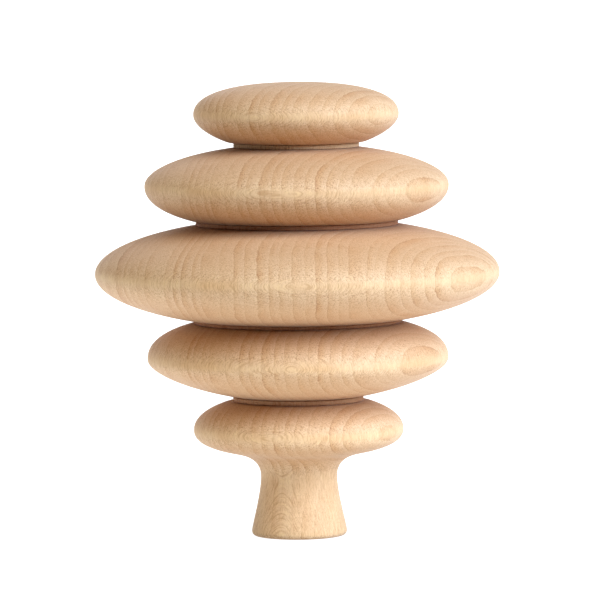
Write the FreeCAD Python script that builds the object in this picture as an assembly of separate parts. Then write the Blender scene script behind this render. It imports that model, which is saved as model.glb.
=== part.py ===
"""Turned wooden tree figure: five lens-shaped tiers stacked on one centre dowel.

The lowest tier and the trunk are one turned piece. Above it, a plain neck ring and a
tier alternate up to the cap. Every piece is bored to the same dowel and glued face to
face, so the stack is one rigid figure. The outer shape is the known part: the dowel,
the bores and the split into pieces are assumed.

Millimetres, +Z up. The origin is the centre of the foot, where the figure stands.
"""
import FreeCAD, Part
import math
import os

# ---- Driving dimensions -----------------------------------------------------------

# Each tier: widest radius, height of its widest level above the table, how far its
# lens would reach above and below that level, and the fullness of each half.
# A fullness of 2 is a plain ellipse; more is squarer, less is more pointed.
TOP_CAP = dict(radius=25.8, level=105.8, rise=8.2, drop=9.8, full_up=2.35, full_down=1.8)
UPPER_TIER = dict(radius=38.2, level=88.3, rise=10.4, drop=11.5, full_up=1.95, full_down=2.2)
MIDDLE_TIER = dict(radius=50.8, level=66.25, rise=13.9, drop=13.7, full_up=2.0, full_down=2.0)
LOWER_TIER = dict(radius=37.85, level=44.5, rise=11.55, drop=10.95, full_up=2.4, full_down=1.65)
BASE_TIER = dict(radius=26.4, level=26.9, rise=9.3, drop=6.8, full_up=2.1, full_down=2.4)

# Each neck ring: radius, and the heights of its lower and upper faces.
NECK_RING_TOP = dict(radius=15.8, bottom=97.7, top=98.9)
NECK_RING_UPPER = dict(radius=25.4, bottom=78.2, top=79.4)
NECK_RING_LOWER = dict(radius=26.2, bottom=53.7, top=54.6)
NECK_RING_BOTTOM = dict(radius=16.4, bottom=34.0, top=35.3)
RING_EDGE = 0.2            # eased edges of the neck rings

# Trunk, below the base tier.
COLLAR_TURN = math.radians(49.0)   # how far round its underside the lens runs into the collar
COLLAR_REACH = 3.95        # length of the collar curve's control where it leaves the lens
WAIST_RADIUS = 9.6
WAIST_HEIGHT = 15.2
WAIST_REACH_UP = 4.75      # length of the curve control at the waist, upwards
WAIST_REACH_DOWN = 3.75    # and downwards, into the flare
FLARE_REACH = 5.05         # and up the flare from the foot
FLARE_ANGLE = math.radians(11.6)   # lean of the trunk's side where it meets the foot
FOOT_RADIUS = 12.05
FOOT_ROUND = 1.05          # rounded lower edge

# Centre dowel and its bores, all assumed.
DOWEL_RADIUS = 4.0
GLUE_GAP = 0.05            # radial clearance that the glue fills
DOWEL_CHAMFER = 0.8
BORE_DEPTH_BASE = 24.0     # depth of the blind bore in the base, from its top face
BORE_DEPTH_CAP = 9.0       # depth of the blind bore in the cap, from its lower face
DOWEL_END_GAP = 0.5        # space left beyond each end of the dowel for glue

CURVE_POINTS = 14          # points along each half of a lens
UP = FreeCAD.Vector(0, 0, 1)


# ---- Outlines, drawn in the XZ plane ---------------------------------------------

def point(radius, height):
    return FreeCAD.Vector(radius, 0, height)


def line(start, end):
    return Part.LineSegment(start, end).toShape()


def half_of(tier, is_upper):
    """Reach and fullness of a tier's upper or lower half."""
    if is_upper:
        return tier["rise"], tier["full_up"]
    return tier["drop"], tier["full_down"]


def lens_radius(tier, height):
    """Radius of a tier's lens at a given height."""
    above = height - tier["level"]
    reach, full = half_of(tier, above > 0)
    return tier["radius"] * (1 - (abs(above) / reach) ** full) ** (1 / full)


def lens_point(tier, turn):
    """Point on a tier's lens; turn is 0 at the widest level and 90 degrees at a pole."""
    reach, full = half_of(tier, turn > 0)
    across = abs(math.cos(turn)) ** (2 / full)
    along = abs(math.sin(turn)) ** (2 / full)
    return point(tier["radius"] * across, tier["level"] + math.copysign(reach * along, turn))


def lens_direction(tier, turn):
    """Unit tangent of the lens at a turn below its widest level, heading downwards."""
    reach, full = half_of(tier, False)
    across, along = math.cos(turn), math.sin(-turn)
    inward = tier["radius"] * across ** (2 / full - 1) * along
    downward = reach * along ** (2 / full - 1) * across
    return point(-inward, -downward).normalize()


def turn_at(tier, height):
    """The turn at which a tier's lens passes a given height."""
    above = height - tier["level"]
    reach, full = half_of(tier, above > 0)
    return math.copysign(math.asin((abs(above) / reach) ** (full / 2)), above)


def lens_curve(tier, first_turn, last_turn):
    """Smooth curve along one half of a lens, between two turns."""
    span = last_turn - first_turn
    turns = [first_turn + span * i / CURVE_POINTS for i in range(CURVE_POINTS + 1)]
    curve = Part.BSplineCurve()
    curve.interpolate([lens_point(tier, turn) for turn in turns])
    return curve.toShape()


def bezier(*points):
    curve = Part.BezierCurve()
    curve.setPoles(list(points))
    return curve.toShape()


def turned(edges):
    """Solid of revolution about Z of a closed outline."""
    wire = Part.Wire(Part.__sortEdges__(edges))
    return Part.Face(wire).revolve(FreeCAD.Vector(), UP, 360)


def bored(solid, bottom, top):
    """The solid with the dowel's bore through it between two heights."""
    bore = Part.makeCylinder(DOWEL_RADIUS + GLUE_GAP, top - bottom, point(0, bottom), UP)
    return solid.cut(bore)


# ---- Pieces ----------------------------------------------------------------------

def make_tier(tier, ring_below, ring_above):
    """A lens cut flat where the neck rings meet it, and bored right through."""
    bottom = ring_below["top"]
    top = ring_above["bottom"]
    low_edge = point(lens_radius(tier, bottom), bottom)
    high_edge = point(lens_radius(tier, top), top)
    edges = [
        line(point(0, bottom), low_edge),
        lens_curve(tier, turn_at(tier, bottom), 0),
        lens_curve(tier, 0, turn_at(tier, top)),
        line(high_edge, point(0, top)),
        line(point(0, top), point(0, bottom)),
    ]
    return bored(turned(edges), bottom - 1, top + 1)


def make_cap(tier, ring_below):
    """The top lens: whole above, flat below, with a blind bore."""
    bottom = ring_below["top"]
    low_edge = point(lens_radius(tier, bottom), bottom)
    pole = point(0, tier["level"] + tier["rise"])
    edges = [
        line(point(0, bottom), low_edge),
        lens_curve(tier, turn_at(tier, bottom), 0),
        lens_curve(tier, 0, math.pi / 2),
        line(pole, point(0, bottom)),
    ]
    return bored(turned(edges), bottom - 1, bottom + BORE_DEPTH_CAP)


def make_ring(ring):
    """A plain washer with eased outer edges."""
    height = ring["top"] - ring["bottom"]
    blank = Part.makeCylinder(ring["radius"], height, point(0, ring["bottom"]), UP)
    rims = [edge for edge in blank.Edges if isinstance(edge.Curve, Part.Circle)]
    return bored(blank.makeFillet(RING_EDGE, rims), ring["bottom"] - 1, ring["top"] + 1)


def make_trunk_base(tier, ring_above):
    """The lowest lens, running through a hollow collar into a flared trunk."""
    top = ring_above["bottom"]
    high_edge = point(lens_radius(tier, top), top)

    collar = lens_point(tier, -COLLAR_TURN)
    inwards = lens_direction(tier, -COLLAR_TURN)
    waist = point(WAIST_RADIUS, WAIST_HEIGHT)

    outwards = FreeCAD.Vector(math.sin(FLARE_ANGLE), 0, -math.cos(FLARE_ANGLE))
    side = FreeCAD.Vector(math.cos(FLARE_ANGLE), 0, math.sin(FLARE_ANGLE))
    round_centre = point(FOOT_RADIUS - FOOT_ROUND, FOOT_ROUND)
    round_start = round_centre + side * FOOT_ROUND
    middle_angle = (FLARE_ANGLE - math.pi / 2) / 2
    round_middle = round_centre + point(math.cos(middle_angle), math.sin(middle_angle)) * FOOT_ROUND
    round_end = round_centre - UP * FOOT_ROUND

    edges = [
        line(point(0, top), high_edge),
        lens_curve(tier, turn_at(tier, top), 0),
        lens_curve(tier, 0, -COLLAR_TURN),
        bezier(collar, collar + inwards * COLLAR_REACH, waist + UP * WAIST_REACH_UP, waist),
        bezier(waist, waist - UP * WAIST_REACH_DOWN, round_start - outwards * FLARE_REACH, round_start),
        Part.Arc(round_start, round_middle, round_end).toShape(),
        line(round_end, point(0, 0)),
        line(point(0, 0), point(0, top)),
    ]
    return bored(turned(edges), top - BORE_DEPTH_BASE, top + 1)


def make_dowel():
    """Round rod with chamfered ends, a little short of both blind bores."""
    bottom = NECK_RING_BOTTOM["bottom"] - BORE_DEPTH_BASE + DOWEL_END_GAP
    top = NECK_RING_TOP["top"] + BORE_DEPTH_CAP - DOWEL_END_GAP
    rod = Part.makeCylinder(DOWEL_RADIUS, top - bottom, point(0, bottom), UP)
    rims = [edge for edge in rod.Edges if isinstance(edge.Curve, Part.Circle)]
    return rod.makeChamfer(DOWEL_CHAMFER, rims)


def main():
    pieces = {
        "trunk_base": make_trunk_base(BASE_TIER, NECK_RING_BOTTOM),
        "neck_ring_bottom": make_ring(NECK_RING_BOTTOM),
        "lower_tier": make_tier(LOWER_TIER, NECK_RING_BOTTOM, NECK_RING_LOWER),
        "neck_ring_lower": make_ring(NECK_RING_LOWER),
        "middle_tier": make_tier(MIDDLE_TIER, NECK_RING_LOWER, NECK_RING_UPPER),
        "neck_ring_upper": make_ring(NECK_RING_UPPER),
        "upper_tier": make_tier(UPPER_TIER, NECK_RING_UPPER, NECK_RING_TOP),
        "neck_ring_top": make_ring(NECK_RING_TOP),
        "top_cap": make_cap(TOP_CAP, NECK_RING_TOP),
        "centre_dowel": make_dowel(),
    }
    os.makedirs("parts", exist_ok=True)
    for name, shape in pieces.items():
        solid = shape.Solids[0]
        solid.exportStep(f"parts/{name}.step")
        box = solid.optimalBoundingBox()
        print(f"{name}: valid {solid.isValid()}, {solid.Volume / 1000:.1f} cm3, "
              f"z {box.ZMin:.2f} to {box.ZMax:.2f}, width {box.XLength:.2f}")


main()
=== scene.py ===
"""Looks of the turned maple tree figure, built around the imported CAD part.

Every visible CAD piece is replaced by a finely turned mesh with the same outline, eased
edges and a hand-sanded surface. One solid maple texture, centred on the tree's pith,
runs through all of them, so the grain crosses the figure in register.
"""

import math

import bpy
from mathutils import Matrix, Vector, noise


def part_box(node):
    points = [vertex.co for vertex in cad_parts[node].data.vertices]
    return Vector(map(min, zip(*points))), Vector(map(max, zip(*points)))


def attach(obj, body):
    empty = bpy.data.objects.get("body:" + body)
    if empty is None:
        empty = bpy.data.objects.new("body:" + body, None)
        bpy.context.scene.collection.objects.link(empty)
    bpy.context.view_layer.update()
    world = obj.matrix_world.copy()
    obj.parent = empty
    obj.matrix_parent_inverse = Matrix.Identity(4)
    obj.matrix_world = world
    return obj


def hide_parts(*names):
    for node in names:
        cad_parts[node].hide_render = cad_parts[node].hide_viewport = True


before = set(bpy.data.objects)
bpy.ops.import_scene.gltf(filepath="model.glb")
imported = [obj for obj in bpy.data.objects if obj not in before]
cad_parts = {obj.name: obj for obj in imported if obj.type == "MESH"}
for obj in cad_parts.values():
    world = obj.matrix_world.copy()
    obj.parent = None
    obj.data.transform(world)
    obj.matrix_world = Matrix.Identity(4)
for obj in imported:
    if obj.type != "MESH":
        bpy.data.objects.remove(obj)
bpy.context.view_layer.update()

MM = 0.001

# ---- Geometry ---------------------------------------------------------------------

SEGMENTS = 288             # round each turned piece
OUTLINE_STEP = 0.45 * MM   # between points along a tier's outline
SMOOTHING_PASSES = 3       # eases the sharp rims where a tier meets its neck rings
SANDING_DEPTH = 0.05 * MM  # low hollows left by sanding
SANDING_LENGTH = 14 * MM
RING_SEGMENTS = 576        # the neck rings are small and rough, so their mesh is finer
RING_STEP = 0.12 * MM
RING_ROUGHNESS = 0.09 * MM
RING_TEAR_LENGTH = 0.7 * MM
SHARP_ANGLE = math.radians(40)

GLUE_GAP = 0.05 * MM       # round the dowel
DOWEL_END_GAP = 0.5 * MM   # past each end of the dowel

TIERS = ["trunk_base", "lower_tier", "middle_tier", "upper_tier", "top_cap"]
# Painted shade: how far each neck ring's colour is darkened to stand in for the shade inside its groove.
RING_PAINTED_SHADE = {
    "neck_ring_bottom": 0.42,
    "neck_ring_lower": 0.6,
    "neck_ring_upper": 0.58,
    "neck_ring_top": 0.0,
}

dowel_low, dowel_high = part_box("centre_dowel")
BORE_RADIUS = dowel_high.x + GLUE_GAP


def cad_outline(node):
    """A CAD node's outer outline as (radius, height) pairs, from its foot to its top."""
    widest = {}
    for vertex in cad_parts[node].data.vertices:
        radius = math.hypot(vertex.co.x, vertex.co.y)
        in_bore = radius < BORE_RADIUS * 1.05 and vertex.co.z < dowel_high.z + 1 * MM
        height = round(vertex.co.z, 6)
        if not in_bore:
            widest[height] = max(radius, widest.get(height, 0))
    return [(radius, height) for height, radius in sorted(widest.items())]


def even_steps(outline, step):
    """The same line with its points spaced evenly along it."""
    lengths = [0.0]
    for (r0, z0), (r1, z1) in zip(outline, outline[1:]):
        lengths.append(lengths[-1] + math.hypot(r1 - r0, z1 - z0))
    count = max(2, round(lengths[-1] / step))
    points, i = [], 0
    for k in range(count + 1):
        along = lengths[-1] * k / count
        while i < len(lengths) - 2 and lengths[i + 1] < along:
            i += 1
        t = (along - lengths[i]) / max(lengths[i + 1] - lengths[i], 1e-12)
        (r0, z0), (r1, z1) = outline[i], outline[i + 1]
        points.append((r0 + (r1 - r0) * t, z0 + (z1 - z0) * t))
    return points


def smoothed(points, passes):
    """The line with its corners eased; its two ends stay."""
    for _ in range(passes):
        inner = [
            ((r0 + 2 * r1 + r2) / 4, (z0 + 2 * z1 + z2) / 4)
            for (r0, z0), (r1, z1), (r2, z2) in zip(points, points[1:], points[2:])
        ]
        points = [points[0], *inner, points[-1]]
    return points


def closed_outline(node, step):
    """The outline with its flat faces, and the bore where the dowel passes."""
    low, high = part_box(node)
    outer = cad_outline(node)
    open_below = node != "trunk_base"
    open_above = node != "top_cap"
    start = (BORE_RADIUS if open_below else 0.0, low.z)
    end = (BORE_RADIUS if open_above else 0.0, high.z)
    line = smoothed(even_steps([start, *outer, end], step), SMOOTHING_PASSES)
    if open_below and open_above:
        return line, []
    floor = dowel_low.z - DOWEL_END_GAP if open_above else dowel_high.z + DOWEL_END_GAP
    return line, [(BORE_RADIUS, floor), (0.0, floor)]


def turned_mesh(name, line, blind, segments, wear):
    """A closed mesh of revolution. wear(point) gives how far the surface is worn back."""
    if blind and line[0][0] == 0.0:
        line = line + blind
    elif blind:
        line = blind[::-1] + line
    is_loop = not blind
    verts, faces, rows = [], [], []
    for i, (radius, height) in enumerate(line):
        if radius < 1e-7:
            rows.append([len(verts)])
            verts.append((0, 0, height))
            continue
        (r0, z0), (r1, z1) = line[max(i - 1, 0)], line[min(i + 1, len(line) - 1)]
        outward = Vector((z1 - z0, 0, r0 - r1)).normalized()
        row = []
        for s in range(segments):
            angle = 2 * math.pi * s / segments
            turn = Matrix.Rotation(angle, 3, "Z")
            point = turn @ Vector((radius, 0, height))
            if radius > BORE_RADIUS * 1.2:
                point -= (turn @ outward) * wear(point)
            row.append(len(verts))
            verts.append(point)
        rows.append(row)
    pairs = list(zip(rows, rows[1:]))
    if is_loop:
        pairs.append((rows[-1], rows[0]))
    for lower, upper in pairs:
        for s in range(segments):
            n = (s + 1) % segments
            if len(lower) == 1:
                faces.append((lower[0], upper[n], upper[s]))
            elif len(upper) == 1:
                faces.append((lower[s], lower[n], upper[0]))
            else:
                faces.append((lower[s], lower[n], upper[n], upper[s]))
    mesh = bpy.data.meshes.new(name)
    mesh.from_pydata(verts, [], faces)
    mesh.shade_smooth()
    mesh.set_sharp_from_angle(angle=SHARP_ANGLE)
    return mesh


def sanding_wear(point):
    """Shallow, slow hollows, never proud of the outline."""
    return SANDING_DEPTH * (0.5 + 0.5 * noise.noise(point / SANDING_LENGTH))


def tool_wear(point):
    """Torn grain and small ridges on a neck ring, left as it came off the tool."""
    stretched = Vector((point.x, point.y, point.z * 0.6)) / RING_TEAR_LENGTH
    return RING_ROUGHNESS * (0.5 + 0.5 * noise.fractal(stretched, 0.8, 2.1, 3))


def turn_piece(node, material, segments, step, wear):
    name = node + "_turned"
    line, blind = closed_outline(node, step)
    piece = bpy.data.objects.new(name, turned_mesh(name, line, blind, segments, wear))
    bpy.context.scene.collection.objects.link(piece)
    piece.data.materials.append(material)
    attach(piece, "root")
    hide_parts(node)


# ---- Wood -------------------------------------------------------------------------

PITH_X = 77.8              # where the tree's pith stood, in mm in the figure's frame
PITH_Y = -49.2
RING_WIDTH = 2.9           # mean width of a year's growth, in mm
RING_START = -0.32         # shifts every ring in or out, in ring widths
RAY_RADIUS = 78.0          # rays are this far from the pith at the figure's front, in mm
RAY_THICKNESS = 0.075      # a ray is a thin upright ribbon, in mm
RAY_HEIGHT = 2.4
RAY_LENGTH = 7.0
WANDER = 5.0               # how far the grain strays from straight, in mm
WANDER_WIDTH = 26.0        # over this far across the fibres
WANDER_LENGTH = 70.0       # and this far along them
LEAN_YEARS = 8.0           # wide and narrow years take turns over about this far, in mm
LEAN_YEARS_SHIFT = 1.6     # and shift the rings by up to this many ring widths
RIPPLE = 0.25              # small waves in each ring, in ring widths


def colour(red, green, blue):
    """A colour given as 0 to 255 sRGB values, as the shader wants it."""
    def linear(value):
        value /= 255
        return value / 12.92 if value <= 0.04045 else ((value + 0.055) / 1.055) ** 2.4
    return (linear(red), linear(green), linear(blue), 1.0)


PALE = colour(237, 207, 164)
TAN = colour(226, 187, 139)
SLANTED = colour(230, 199, 161)    # where the surface starts to cut across the fibres
END_GRAIN = colour(206, 163, 120)
LATE_WOOD = colour(204, 152, 102)
EARLY_WOOD = colour(240, 214, 176)
YEAR_LINE = colour(158, 104, 62)
RAY_SHINE = colour(244, 214, 160)
RAY_SHADE = colour(186, 136, 86)
FIBRE = colour(184, 132, 86)
PORE = colour(164, 110, 68)
# Painted shade: the dark red-brown the neck rings are blended towards in place of the shade in their
# grooves.
PAINTED_GROOVE_SHADE = colour(170, 80, 30)


class Graph:
    """Short forms for the nodes of one material."""

    def __init__(self, name):
        self.material = bpy.data.materials.new(name)
        self.material.use_nodes = True
        self.tree = self.material.node_tree
        self.shader = self.tree.nodes["Principled BSDF"]

    def add(self, kind, inputs, **settings):
        made = self.tree.nodes.new("ShaderNode" + kind)
        for key, value in settings.items():
            setattr(made, key, value)
        for key, value in inputs.items():
            if isinstance(value, bpy.types.NodeSocket):
                self.tree.links.new(value, made.inputs[key])
            else:
                made.inputs[key].default_value = value
        return made

    def math(self, operation, *values):
        return self.add("Math", dict(enumerate(values)), operation=operation).outputs[0]

    def times(self, first, second):
        return self.math("MULTIPLY", first, second)

    def vector(self, operation, first, second):
        return self.add("VectorMath", {0: first, 1: second}, operation=operation).outputs[0]

    def noise(self, place, detail=2.0, roughness=0.5):
        inputs = {"Vector": place, "Scale": 1.0, "Detail": detail, "Roughness": roughness}
        return self.add("TexNoise", inputs).outputs["Fac"]

    def grain(self, place, across, along, detail=2.0, roughness=0.5):
        """Noise with cells this many mm wide across the fibres and long along them."""
        cells = self.vector("MULTIPLY", place, (1 / across, 1 / across, 1 / along))
        return self.noise(cells, detail, roughness)

    def spread(self, value, low, high, to_low=0.0, to_high=1.0):
        inputs = {"Value": value, "From Min": low, "From Max": high, "To Min": to_low, "To Max": to_high}
        return self.add("MapRange", inputs, interpolation_type="SMOOTHSTEP").outputs["Result"]

    def blend(self, amount, first, second):
        inputs = {"Factor": amount, 6: first, 7: second}
        return self.add("Mix", inputs, data_type="RGBA").outputs[2]


def growth(g, place):
    """Distance from the pith and angle round it, with the slow wander of real wood."""
    cells = g.vector("MULTIPLY", place, (1 / WANDER_WIDTH, 1 / WANDER_WIDTH, 1 / WANDER_LENGTH))
    wander = g.add("TexNoise", {"Vector": cells, "Scale": 1.0, "Detail": 1.5}).outputs["Color"]
    shift = g.vector("MULTIPLY", g.vector("SUBTRACT", wander, (0.5, 0.5, 0.5)), (WANDER, WANDER, 0.0))
    from_pith = g.vector("SUBTRACT", g.vector("ADD", place, shift), (PITH_X, PITH_Y, 0.0))
    flat = g.vector("MULTIPLY", from_pith, (1.0, 1.0, 0.0))
    distance = g.add("VectorMath", {0: flat}, operation="LENGTH").outputs["Value"]
    parts = g.add("SeparateXYZ", {0: from_pith})
    angle = g.math("ARCTAN2", parts.outputs[1], parts.outputs[0])
    return distance, angle, parts.outputs[2]


def year_rings(g, place, distance):
    """0 to 1 across each year's ring, and a random value for each year."""
    along = g.math("MULTIPLY", distance, 1 / LEAN_YEARS)
    inputs = {"W": along, "Scale": 1.0, "Detail": 1.0}
    uneven = g.add("TexNoise", inputs, noise_dimensions="1D").outputs["Fac"]
    ripple = g.math("MULTIPLY", g.grain(place, 1.3, 2.6, 2.0, 0.6), RIPPLE)
    shift = g.math("MULTIPLY", uneven, LEAN_YEARS_SHIFT)
    years = g.math("ADD", g.math("DIVIDE", distance, RING_WIDTH), shift)
    years = g.math("ADD", g.math("ADD", years, ripple), RING_START)
    phase = g.math("FRACT", years)
    year = g.math("FLOOR", years)
    luck = g.add("TexWhiteNoise", {"W": year}, noise_dimensions="1D").outputs["Value"]
    return phase, luck


def ray_figure(g, distance, angle, height):
    """Rays: thin ribbons that stand upright and run out from the pith."""
    cells = g.add("CombineXYZ", {
        0: g.math("MULTIPLY", angle, RAY_RADIUS / RAY_THICKNESS),
        1: g.math("MULTIPLY", height, 1 / RAY_HEIGHT),
        2: g.math("MULTIPLY", distance, 1 / RAY_LENGTH),
    }).outputs[0]
    return g.noise(cells, 1.0, 0.5)


def maple(name, polished, groove_shade=0.0):
    """Hard maple: thin brown ring lines, fine ray flecks and an oiled satin surface."""
    g = Graph(name)
    here = g.add("TexCoord", {}).outputs["Object"]
    place = g.vector("MULTIPLY", here, (1000.0, 1000.0, 1000.0))
    distance, angle, height = growth(g, place)
    phase, luck = year_rings(g, place, distance)
    rays = ray_figure(g, distance, angle, height)

    # How nearly the surface cuts across the fibres: 0 along them, 1 on end grain.
    normal = g.add("NewGeometry", {}).outputs["Normal"]
    across = g.math("ABSOLUTE", g.add("SeparateXYZ", {0: normal}).outputs[2])

    # Each year starts pale, darkens slowly outwards and ends in a thin line.
    early = g.spread(phase, 0.14, 0.03)
    late = g.math("SMOOTH_MIN", g.spread(phase, 0.10, 0.98), g.spread(phase, 1.0, 0.96), 0.05)
    line = g.times(g.spread(phase, 0.86, 0.93), g.spread(phase, 1.0, 0.96))
    patchy = g.grain(place, 6.0, 14.0)
    strength = g.times(g.spread(luck, 0.0, 1.0, 0.35, 0.8), g.spread(patchy, 0.3, 0.7, 0.3, 0.95))
    late = g.times(g.times(late, strength), g.spread(across, 0.05, 0.6, 0.25, 1.0))
    early = g.times(g.times(early, strength), g.spread(across, 0.1, 0.7, 0.1, 0.3))
    line = g.times(g.times(line, strength), g.spread(across, 0.1, 0.7, 0.25, 0.5))

    fibres = g.grain(place, 0.34, 1.2, 3.0, 0.7)
    pores = g.grain(place, 0.26, 0.4, 1.0)
    clouds = g.grain(place, 17.0, 30.0, 3.0, 0.55)

    wood = g.blend(g.spread(clouds, 0.3, 0.7), PALE, TAN)
    wood = g.blend(g.spread(across, 0.0, 0.55, 0.0, 0.6), wood, SLANTED)
    wood = g.blend(g.spread(across, 0.5, 1.0, 0.0, 0.5), wood, END_GRAIN)
    wood = g.blend(late, wood, LATE_WOOD)
    wood = g.blend(early, wood, EARLY_WOOD)
    wood = g.blend(line, wood, YEAR_LINE)
    shine = g.times(g.spread(rays, 0.50, 0.72), g.spread(across, 0.9, 0.3, 0.15, 0.45))
    wood = g.blend(shine, wood, RAY_SHINE)
    shade = g.times(g.spread(rays, 0.50, 0.28), g.spread(across, 0.9, 0.3, 0.15, 0.50))
    wood = g.blend(shade, wood, RAY_SHADE)
    speckle = g.math("ADD", g.spread(across, 0.05, 0.5, 0.35, 1.0), g.times(late, 0.6))
    wood = g.blend(g.times(g.spread(fibres, 0.42, 0.72, 0.0, 0.5), speckle), wood, FIBRE)
    wood = g.blend(g.times(g.spread(pores, 0.52, 0.72, 0.0, 0.55), speckle), wood, PORE)
    # Painted shade: the neck rings' colour is darkened here to stand in for the shade in their grooves.
    wood = g.blend(groove_shade, wood, PAINTED_GROOVE_SHADE)

    g.tree.links.new(wood, g.shader.inputs["Base Color"])
    smooth, rough = (0.52, 0.68) if polished else (0.65, 0.85)
    g.tree.links.new(g.spread(fibres, 0.25, 0.75, smooth, rough), g.shader.inputs["Roughness"])
    g.shader.inputs["IOR"].default_value = 1.38
    g.shader.inputs["Sheen Weight"].default_value = 0.14
    g.shader.inputs["Sheen Roughness"].default_value = 0.35
    relief = g.math("ADD", fibres, g.times(rays, 0.6))
    bump = g.add("Bump", {"Strength": 0.15 if polished else 0.5, "Distance": 0.0001, "Height": relief})
    g.tree.links.new(bump.outputs["Normal"], g.shader.inputs["Normal"])
    return g.material


def birch(name):
    """Plain dowel stock, hidden inside the stack: straight pale fibres."""
    g = Graph(name)
    here = g.add("TexCoord", {}).outputs["Object"]
    place = g.vector("MULTIPLY", here, (1000.0, 1000.0, 1000.0))
    fibres = g.grain(place, 0.4, 8.0, 4.0, 0.6)
    wood = g.blend(g.spread(fibres, 0.3, 0.7), colour(226, 196, 152), colour(192, 152, 106))
    g.tree.links.new(wood, g.shader.inputs["Base Color"])
    g.tree.links.new(g.spread(fibres, 0.2, 0.8, 0.55, 0.75), g.shader.inputs["Roughness"])
    return g.material


# ---- Studio -----------------------------------------------------------------------

VIEW_DISTANCE = 1381.6 * MM
VIEW_PITCH = math.radians(4.2)
VIEW_ROLL = math.radians(-0.5)
VIEW_LEVEL = 59.3 * MM     # the camera looks at this height on the axis
VIEW_ASIDE = 0.62 * MM     # and this far to the right of it
LENS = 330.4
FLOOR_RADIUS = 12.0
FLOOR_GLOW = 1.25
BACKDROP_GLOW = 1.05
COOL = (0.74, 0.88, 1.15)
WARM = (1.16, 1.01, 0.76)


def make_camera():
    data = bpy.data.cameras.new("camera")
    data.lens = LENS
    data.sensor_width = 36.0
    data.clip_start, data.clip_end = 0.05, 60.0
    camera = bpy.data.objects.new("camera", data)
    bpy.context.scene.collection.objects.link(camera)
    back = Vector((0, -math.cos(VIEW_PITCH), math.sin(VIEW_PITCH)))
    upright = (-back).to_track_quat("-Z", "Y").to_matrix()
    turn = upright @ Matrix.Rotation(VIEW_ROLL, 3, "Z")
    target = Vector((VIEW_ASIDE, 0, VIEW_LEVEL))
    camera.matrix_world = Matrix.Translation(target + back * VIEW_DISTANCE) @ turn.to_4x4()
    bpy.context.scene.camera = camera


def make_sun(name, azimuth, elevation, width, strength, tint):
    """A broad soft light from far away. Azimuth 0 is from the viewer, 90 from the right."""
    data = bpy.data.lights.new(name, "SUN")
    data.energy = strength
    data.angle = math.radians(width)
    data.color = tint
    light = bpy.data.objects.new(name, data)
    bpy.context.scene.collection.objects.link(light)
    a, e = math.radians(azimuth), math.radians(elevation)
    towards = Vector((math.sin(a) * math.cos(e), -math.cos(a) * math.cos(e), math.sin(e)))
    light.rotation_mode = "QUATERNION"
    light.rotation_quaternion = towards.to_track_quat("Z", "Y")


def make_floor():
    """White table that glows, its glow standing in for light bounced up onto the figure. What it throws
    on the figure fades out towards the dark room in front, and is dimmed near the foot as a painted
    shadow.
    """
    bpy.ops.mesh.primitive_circle_add(vertices=96, radius=FLOOR_RADIUS, fill_type="NGON")
    floor = bpy.context.object
    floor.name = "floor"
    g = Graph("floor_white")
    here = g.add("TexCoord", {}).outputs["Object"]
    away = g.add("SeparateXYZ", {0: here}).outputs[1]
    behind = g.spread(away, -0.35, 0.0, 0.0, FLOOR_GLOW)
    radius = g.add("VectorMath", {0: here}, operation="LENGTH").outputs["Value"]
    # Painted shadow: the glow falls to 0.35 near the figure's foot, standing in for the figure's own
    # shadow on the table.
    glow_with_painted_shadow = g.math("MULTIPLY", behind, g.spread(radius, 0.0, 0.07, 0.35, 1.0))
    seen = g.add("LightPath", {}).outputs["Is Camera Ray"]
    g.shader.inputs["Base Color"].default_value = (0.2, 0.2, 0.2, 1.0)
    g.shader.inputs["Roughness"].default_value = 0.9
    g.shader.inputs["Emission Color"].default_value = (1.0, 1.0, 1.0, 1.0)
    g.tree.links.new(g.math("MAXIMUM", glow_with_painted_shadow, seen), g.shader.inputs["Emission Strength"])
    floor.data.materials.append(g.material)


def make_world():
    """White all round to the camera; on the figure, a bright backdrop behind it."""
    world = bpy.data.worlds.new("studio")
    world.use_nodes = True
    tree = world.node_tree
    background = tree.nodes["Background"]
    background.inputs["Color"].default_value = (1.0, 1.0, 1.0, 1.0)
    place = tree.nodes.new("ShaderNodeTexCoord")
    parts = tree.nodes.new("ShaderNodeSeparateXYZ")
    behind = tree.nodes.new("ShaderNodeMapRange")
    behind.inputs["To Max"].default_value = BACKDROP_GLOW
    path = tree.nodes.new("ShaderNodeLightPath")
    brightest = tree.nodes.new("ShaderNodeMath")
    brightest.operation = "MAXIMUM"
    tree.links.new(place.outputs["Generated"], parts.inputs[0])
    tree.links.new(parts.outputs[1], behind.inputs["Value"])
    tree.links.new(behind.outputs["Result"], brightest.inputs[0])
    tree.links.new(path.outputs["Is Camera Ray"], brightest.inputs[1])
    tree.links.new(brightest.outputs[0], background.inputs["Strength"])
    bpy.context.scene.world = world


# ---- Everything -------------------------------------------------------------------

turned_maple = maple("turned_maple", polished=True)
for tier in TIERS:
    turn_piece(tier, turned_maple, SEGMENTS, OUTLINE_STEP, sanding_wear)
for ring in RING_PAINTED_SHADE:
    raw_maple = maple(ring + "_maple", polished=False, groove_shade=RING_PAINTED_SHADE[ring])
    turn_piece(ring, raw_maple, RING_SEGMENTS, RING_STEP, tool_wear)

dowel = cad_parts["centre_dowel"]
dowel.data.materials.clear()
dowel.data.materials.append(birch("dowel_hardwood"))

make_floor()
make_world()
make_sun("key", 50, 30, 36, 2.9, COOL)
make_sun("side", 72, 17, 30, 0.82, COOL)
make_sun("front_top", 5, 50, 50, 1.3, WARM)
make_camera()
bpy.context.scene.view_settings.view_transform = "Standard"
